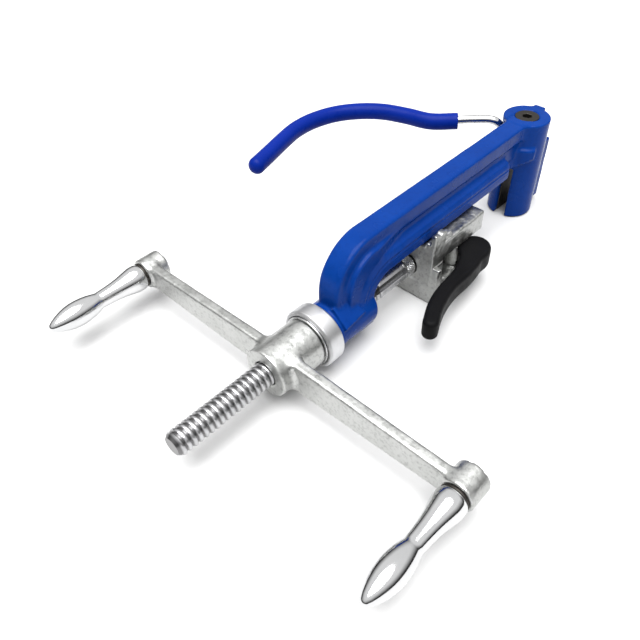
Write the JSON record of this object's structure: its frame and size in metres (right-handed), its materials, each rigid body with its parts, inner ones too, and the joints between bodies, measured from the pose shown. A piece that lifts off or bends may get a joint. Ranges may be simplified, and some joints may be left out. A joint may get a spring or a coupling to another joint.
{
  "type": "strapping tensioner tool",
  "caption": "Hand tensioner for metal strapping: a two-arm crank nut pulls a screw spindle and a lever gripper along a C-shaped frame whose nose holds a swing-lever band cutter",
  "frame": {"origin": "middle of the bounding box's lowest plane", "axes": "+Y along the spindle towards the nose where the band leaves, +Z from the gripper's underside up through the frame's spine, +X to the right of an operator standing at the crank and looking towards the nose"},
  "size_m": [0.216, 0.2892, 0.0617],
  "materials": {
    "blue_enamel": "glossy royal blue enamel on cast steel, slightly uneven",
    "blue_sleeve": "dipped blue plastic, satin",
    "zinc_casting": "bright zinc plate over a rough steel casting",
    "bright_steel": "bright plated, polished",
    "turned_steel": "machined steel, bare",
    "bronze": "machined bronze",
    "black_coat": "dipped black plastic, satin with a fine grain",
    "dark_steel": "blackened steel"
  },
  "bodies": {
    "frame": {"frame_casting": "blue_enamel", "bearing_housing": "bright_steel", "fixed_race": "turned_steel", "barrel_bush": "bronze", "spindle_key": "turned_steel"},
    "crank": {"crank_handle": "zinc_casting", "turning_race": "turned_steel", "grip_pin_left": "turned_steel", "grip_pin_right": "turned_steel", "grip_washer_left": "dark_steel", "grip_washer_right": "dark_steel"},
    "left_grip": {"grip_left": "bright_steel"},
    "right_grip": {"grip_right": "bright_steel"},
    "ball_cage": {"bearing_cage": "bronze", "bearing_ball_01": "bright_steel", "bearing_ball_02": "bright_steel", "bearing_ball_03": "bright_steel", "bearing_ball_04": "bright_steel", "bearing_ball_05": "bright_steel", "bearing_ball_06": "bright_steel", "bearing_ball_07": "bright_steel", "bearing_ball_08": "bright_steel", "bearing_ball_09": "bright_steel", "bearing_ball_10": "bright_steel"},
    "carriage": {"spindle": "bright_steel", "spindle_lock_pin": "turned_steel", "gripper_block_foot": "zinc_casting", "gripper_block": "zinc_casting", "gripper_block_lid": "zinc_casting", "gripper_pivot_pin": "turned_steel"},
    "lever": {"gripper_lever": "zinc_casting", "gripper_lever_coat": "black_coat", "gripper_spring": "turned_steel"},
    "cutter": {"cutter_core": "dark_steel", "cutter_screw": "dark_steel", "cutter_rod": "bright_steel", "cutter_sleeve": "blue_sleeve"}
  },
  "joints": [
    {"name": "crank_spin", "type": "hinge", "parent": "frame", "child": "crank", "pos_m": [0, -0.0794, 0.0192], "axis": [0, 1, 0], "range_deg": [-5750, 3350]},
    {"name": "spindle_slide", "type": "slide", "parent": "frame", "child": "carriage", "axis": [0, 1, 0], "range_m": [-0.028, 0.048]},
    {"name": "cage_spin", "type": "hinge", "parent": "frame", "child": "ball_cage", "pos_m": [0, -0.06035, 0.0192], "axis": [0, 1, 0], "range_deg": [-2880, 1680]},
    {"name": "left_grip_spin", "type": "hinge", "parent": "crank", "child": "left_grip", "pos_m": [-0.1, -0.1094, 0.0192], "axis": [0, 1, 0], "continuous": true},
    {"name": "right_grip_spin", "type": "hinge", "parent": "crank", "child": "right_grip", "pos_m": [0.1, -0.1094, 0.0192], "axis": [0, 1, 0], "continuous": true},
    {"name": "gripper_lever_hinge", "type": "hinge", "parent": "carriage", "child": "lever", "pos_m": [0.0116, 0.0486, 0.0192], "axis": [0, 0, 1], "range_deg": [0, 35], "stiffness_Nm_per_rad": 0.4, "springref_deg": -22.92},
    {"name": "cutter_hinge", "type": "hinge", "parent": "frame", "child": "cutter", "pos_m": [0, 0.1249, 0.0522], "axis": [0, 0, 1], "range_deg": [-90, 0]}
  ],
  "couplings": [
    {"joint": "spindle_slide", "follows": "crank_spin", "m_per_rad": -0.00047746},
    {"joint": "cage_spin", "follows": "crank_spin", "ratio": 0.5}
  ]
}
